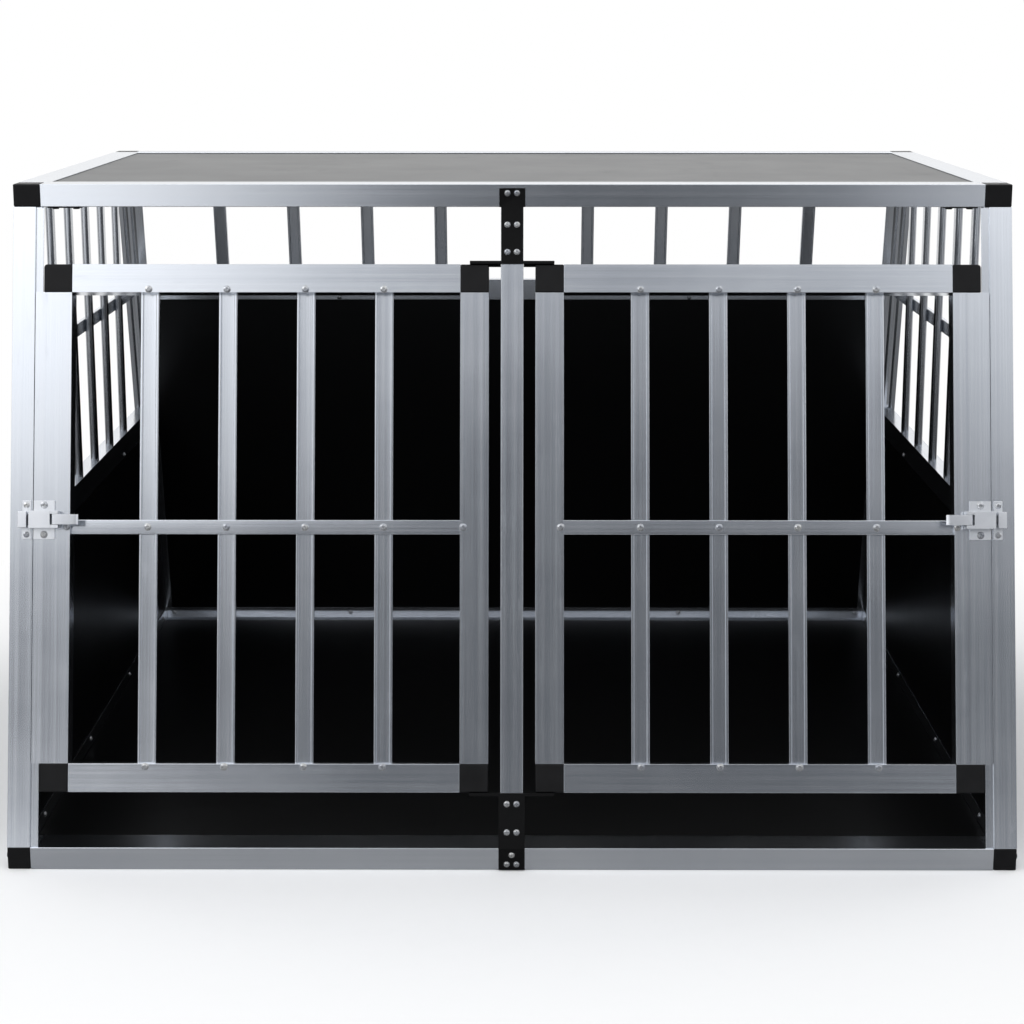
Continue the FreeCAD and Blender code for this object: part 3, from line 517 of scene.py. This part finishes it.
def pan_head_screw(name, shank_long, collar, head, tall):
    """A screw at the origin: a thin collar, a rounded head with a cross recess, and its shank. Collar and
    head are radii."""
    collar_tall = 0.0005
    clear_choice()
    bpy.ops.mesh.primitive_cylinder_add(
        vertices=28, radius=collar, depth=collar_tall, location=(0, 0, collar_tall / 2))
    piece = bpy.context.object
    piece.name = name
    bpy.ops.object.transform_apply()
    bpy.ops.object.mode_set(mode="EDIT")
    pick_faces(lambda middle, normal: normal.z > 0.9)
    bpy.ops.mesh.bevel(offset=collar_tall * 0.6, segments=2, affect="EDGES")
    pick_faces(lambda middle, normal: normal.z > 0.98)
    bpy.ops.mesh.inset(thickness=collar * 0.94 - head)
    bpy.ops.mesh.extrude_region_move(TRANSFORM_OT_translate={"value": (0, 0, tall - collar_tall)})
    bpy.ops.mesh.bevel(offset=head * 0.42, segments=5, affect="EDGES")
    pick_faces(lambda middle, normal: normal.z < -0.98)
    bpy.ops.mesh.inset(thickness=collar - shank_radius)
    bpy.ops.mesh.extrude_region_move(TRANSFORM_OT_translate={"value": (0, 0, -shank_long)})
    bpy.ops.mesh.bevel(offset=shank_radius * 0.35, segments=1, affect="EDGES")
    bpy.ops.object.mode_set(mode="OBJECT")
    for turn in (0.0, math.pi / 2):
        cut_recess_arm(piece, head, tall, turn)
    smooth(piece, 35)
    return piece


def blind_rivet(name, shank_long, flange, tall):
    """A rivet at the origin: a low domed flange with the stub of its pin in the middle. The flange is a
    radius."""
    clear_choice()
    bpy.ops.mesh.primitive_cylinder_add(vertices=24, radius=flange, depth=tall, location=(0, 0, tall / 2))
    piece = bpy.context.object
    piece.name = name
    bpy.ops.object.transform_apply()
    bpy.ops.object.mode_set(mode="EDIT")
    pick_faces(lambda middle, normal: normal.z > 0.9)
    bpy.ops.transform.resize(value=(0.62, 0.62, 1.0))
    bpy.ops.mesh.bevel(offset=tall * 0.5, segments=4, affect="EDGES")
    pick_faces(lambda middle, normal: normal.z > 0.98)
    bpy.ops.mesh.inset(thickness=flange * 0.12)
    bpy.ops.mesh.extrude_region_move(TRANSFORM_OT_translate={"value": (0, 0, -tall * 0.5)})
    bpy.ops.mesh.inset(thickness=flange * 0.08)
    bpy.ops.mesh.extrude_region_move(TRANSFORM_OT_translate={"value": (0, 0, tall * 0.3)})
    pick_faces(lambda middle, normal: normal.z < -0.98)
    bpy.ops.mesh.inset(thickness=flange - shank_radius)
    bpy.ops.mesh.extrude_region_move(TRANSFORM_OT_translate={"value": (0, 0, -shank_long)})
    bpy.ops.object.mode_set(mode="OBJECT")
    smooth(piece, 35)
    return piece


def copies_at(name, model, spots):
    """Copies of a model at each spot, every one turned a little further, joined into one piece."""
    golden_turn = math.radians(137.5)
    copies = []
    for number, (place, facing, _) in enumerate(spots):
        upright = facing.to_track_quat("Z", "Y").to_matrix().to_4x4()
        twist = Matrix.Rotation(golden_turn * number, 4, "Z")
        copied = bpy.data.objects.new(name, model.data.copy())
        copied.data.transform(Matrix.Translation(place) @ upright @ twist)
        bpy.context.collection.objects.link(copied)
        copies.append(copied)
    clear_choice()
    for copied in copies:
        copied.select_set(True)
    bpy.context.view_layer.objects.active = copies[0]
    if len(copies) > 1:
        bpy.ops.object.join()
    return copies[0]


def fit_screws(node, **sizes):
    """Put modelled screws in the place of a node's plain ones, one model for each shank length."""
    by_shank = {}
    for spot in fastener_spots(node):
        by_shank.setdefault(round(spot[2], 4), []).append(spot)
    for number, (shank_long, spots) in enumerate(sorted(by_shank.items())):
        model = pan_head_screw(node + "_model", shank_long, **sizes)
        dress_as(copies_at("%s_modelled_%d" % (node, number), model, spots), node)
        bpy.data.objects.remove(model)


fit_screws("frame_screws", collar=0.0032, head=0.0029, tall=0.0019)
for side in ("left", "right"):
    fit_screws(side + "_door_screws", collar=0.0039, head=0.0033, tall=0.0022)

rivet = blind_rivet("panel_rivet_model", shank_long=0.005, flange=0.0034, tall=0.0014)
dress_as(copies_at("panel_rivets_modelled", rivet, fastener_spots("panel_rivets")), "panel_rivets")
bpy.data.objects.remove(rivet)


def corner_side_screws():
    """A black round-headed screw on the outer side of each lower corner connector."""
    low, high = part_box("lower_corners")
    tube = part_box("front_bottom_rail")[1].z
    shank_long = 0.002
    model = pan_head_screw(
        "corner_side_screw_model", shank_long, collar=0.0042, head=0.0038, tall=0.0026)
    spots = [(Vector((x, y, tube / 2)), Vector((math.copysign(1, x), 0, 0)), shank_long)
             for x in (low.x, high.x) for y in (low.y + tube / 2, high.y - tube / 2)]
    piece = copies_at("corner_side_screws", model, spots)
    bpy.data.objects.remove(model)
    dress(piece, slot_finishes["connector"], "frame")


corner_side_screws()


# Studio
def sweep_paper():
    """White paper. The camera sees it with the crate's shadow, fading to plain white. Mirrored in the
    crate its colour is painted shade: grey near the crate and darker farther in front, and plain white
    behind the crate."""
    f = new_finish("white_studio_sweep")
    ground = f.place(run_turns["up"], (1.0, 1.0, 0.0))
    reach = f.node("ShaderNodeVectorMath", {"operation": "LENGTH"}, {0: ground}, output="Value")
    back = f.node("ShaderNodeSeparateXYZ", None, {"Vector": ground}, output="Y")
    camera, gloss = f.seen_rays()
    away = camera * reach.between(0.65, 1.20) + gloss * back.between(0.35, 0.80)
    grain = f.noise(f.place(), 40.0, 2.0, 0.5)
    # Painted shade for mirrored rays: the paper's colour falls from 0.34 near the crate to 0.06 farther out,
    # with a faint grain.
    grain_and_painted_dimming = grain * 0.04 + reach.between(1.20, 1.60)
    mirrored_painted_shade = f.blend(grain_and_painted_dimming, (0.34, 0.34, 0.34), (0.06, 0.06, 0.06))
    painted = f.blend(camera * (0.98 + grain * 0.04), mirrored_painted_shade, (0.86, 0.86, 0.86))
    paper = f.node("ShaderNodeBsdfDiffuse", None, {"Color": painted})
    white = f.node("ShaderNodeEmission", None, {"Color": (1.0, 1.0, 1.0), "Strength": 1.0})
    mixed = f.node("ShaderNodeMixShader", None, {0: away, 1: paper, 2: white})
    f.node("ShaderNodeOutputMaterial", None, {"Surface": mixed})
    return f.owner


def studio_sweep():
    """A floor that ends behind the camera and curves up far behind the crate."""
    near, far, side, tall, curve, steps = -4.0, 9.0, 12.0, 7.0, 2.5, 8
    clear_choice()
    bpy.ops.mesh.primitive_plane_add(size=1.0, location=(0, (near + far) / 2, 0))
    sweep = bpy.context.object
    sweep.name = "studio_sweep"
    sweep.scale = (2 * side, far - near, 1.0)
    bpy.ops.object.transform_apply()
    bpy.ops.object.mode_set(mode="EDIT")
    bpy.ops.mesh.select_mode(type="EDGE")
    bpy.ops.mesh.select_all(action="DESELECT")
    shape = bmesh.from_edit_mesh(sweep.data)
    for edge in shape.edges:
        edge.select_set(all(point.co.y > far - 0.1 for point in edge.verts))
    bmesh.update_edit_mesh(sweep.data)
    for step in range(steps):
        angle = (step + 0.5) * math.pi / 2 / steps
        length = 2 * curve * math.sin(math.pi / 4 / steps)
        move = (0, length * math.cos(angle), length * math.sin(angle))
        bpy.ops.mesh.extrude_region_move(TRANSFORM_OT_translate={"value": move})
    bpy.ops.mesh.extrude_region_move(TRANSFORM_OT_translate={"value": (0, 0, tall)})
    bpy.ops.object.mode_set(mode="OBJECT")
    choose(sweep)
    bpy.ops.object.shade_smooth()
    sweep.data.materials.append(sweep_paper())


def studio_room():
    """The room round the camera: dim ahead with a dark band across the walls, a bright wall to the left,
    a less bright one to the right and a pale ceiling. The camera sees plain white, and so does gloss that
    looks to the back."""
    world = bpy.data.worlds.new("studio_room")
    bpy.context.scene.world = world
    f = Finish(world)
    facing = f.node("ShaderNodeTexCoord", output="Generated")
    across, back, up = [
        f.node("ShaderNodeSeparateXYZ", None, {"Vector": facing}, output=name) for name in ("X", "Y", "Z")]
    dark_band = 1.0 - up.distance_to(0.21).between(0.04, 0.10)
    ceiling = up.between(0.34, 0.48) * (1.0 - up.between(0.60, 0.80) * 0.6) * 0.80
    left_wall = (-across - dark_band * 0.23).between(0.05, 0.20) * (1.0 - (-across).between(0.35, 0.60) * 0.7)
    right_wall = (across - dark_band * 0.23).between(0.13, 0.30) * (1.0 - across.between(0.35, 0.60) * 0.7)
    level = 0.11 + ceiling * (1.0 - left_wall * 0.6) + left_wall * 1.36 + right_wall * 1.05
    tint = f.blend(level.between(0.1, 1.0), (0.90, 0.95, 1.04), (0.98, 0.99, 1.01))
    room = f.node("ShaderNodeBackground", None, {"Color": tint, "Strength": level})
    white = f.node("ShaderNodeBackground", None, {"Color": (1.0, 1.0, 1.0), "Strength": 1.0})
    camera, gloss = f.seen_rays()
    shown = camera.or_larger(gloss * back.between(0.0, 0.3))
    seen = f.node("ShaderNodeMixShader", None, {0: shown, 1: room, 2: white})
    f.node("ShaderNodeOutputWorld", None, {"Surface": seen})


def softbox(name, place, aim, size, power):
    lamp = bpy.data.lights.new(name, "AREA")
    lamp.size = size
    lamp.energy = power
    holder = bpy.data.objects.new(name, lamp)
    bpy.context.collection.objects.link(holder)
    holder.location = place
    holder.rotation_euler = (Vector(aim) - Vector(place)).to_track_quat("-Z", "Y").to_euler()


def photograph_view():
    """The camera of the photograph: in front, a little above the roof and looking slightly down."""
    picture_wide, focal_pixels = 1024, 2245
    down, aside = math.radians(12.27), math.radians(0.24)
    camera = bpy.data.cameras.new("photograph_view")
    camera.sensor_width = 36
    camera.lens = focal_pixels / picture_wide * camera.sensor_width
    camera.clip_end = 60
    viewer = bpy.data.objects.new("photograph_view", camera)
    bpy.context.collection.objects.link(viewer)
    viewer.location = (0.0096, -2.655, 0.853)
    viewer.rotation_euler = (math.pi / 2 - down, 0.0, aside)
    bpy.context.scene.camera = viewer
    bpy.context.scene.view_settings.view_transform = "Standard"


studio_sweep()
studio_room()
softbox("key_softbox", place=(-2.4, -1.6, 2.4), aim=(0.0, 0.0, 0.4), size=1.2, power=20)
softbox("top_softbox", place=(0.3, 0.6, 3.0), aim=(0.0, 0.0, 0.5), size=2.0, power=14)
photograph_view()
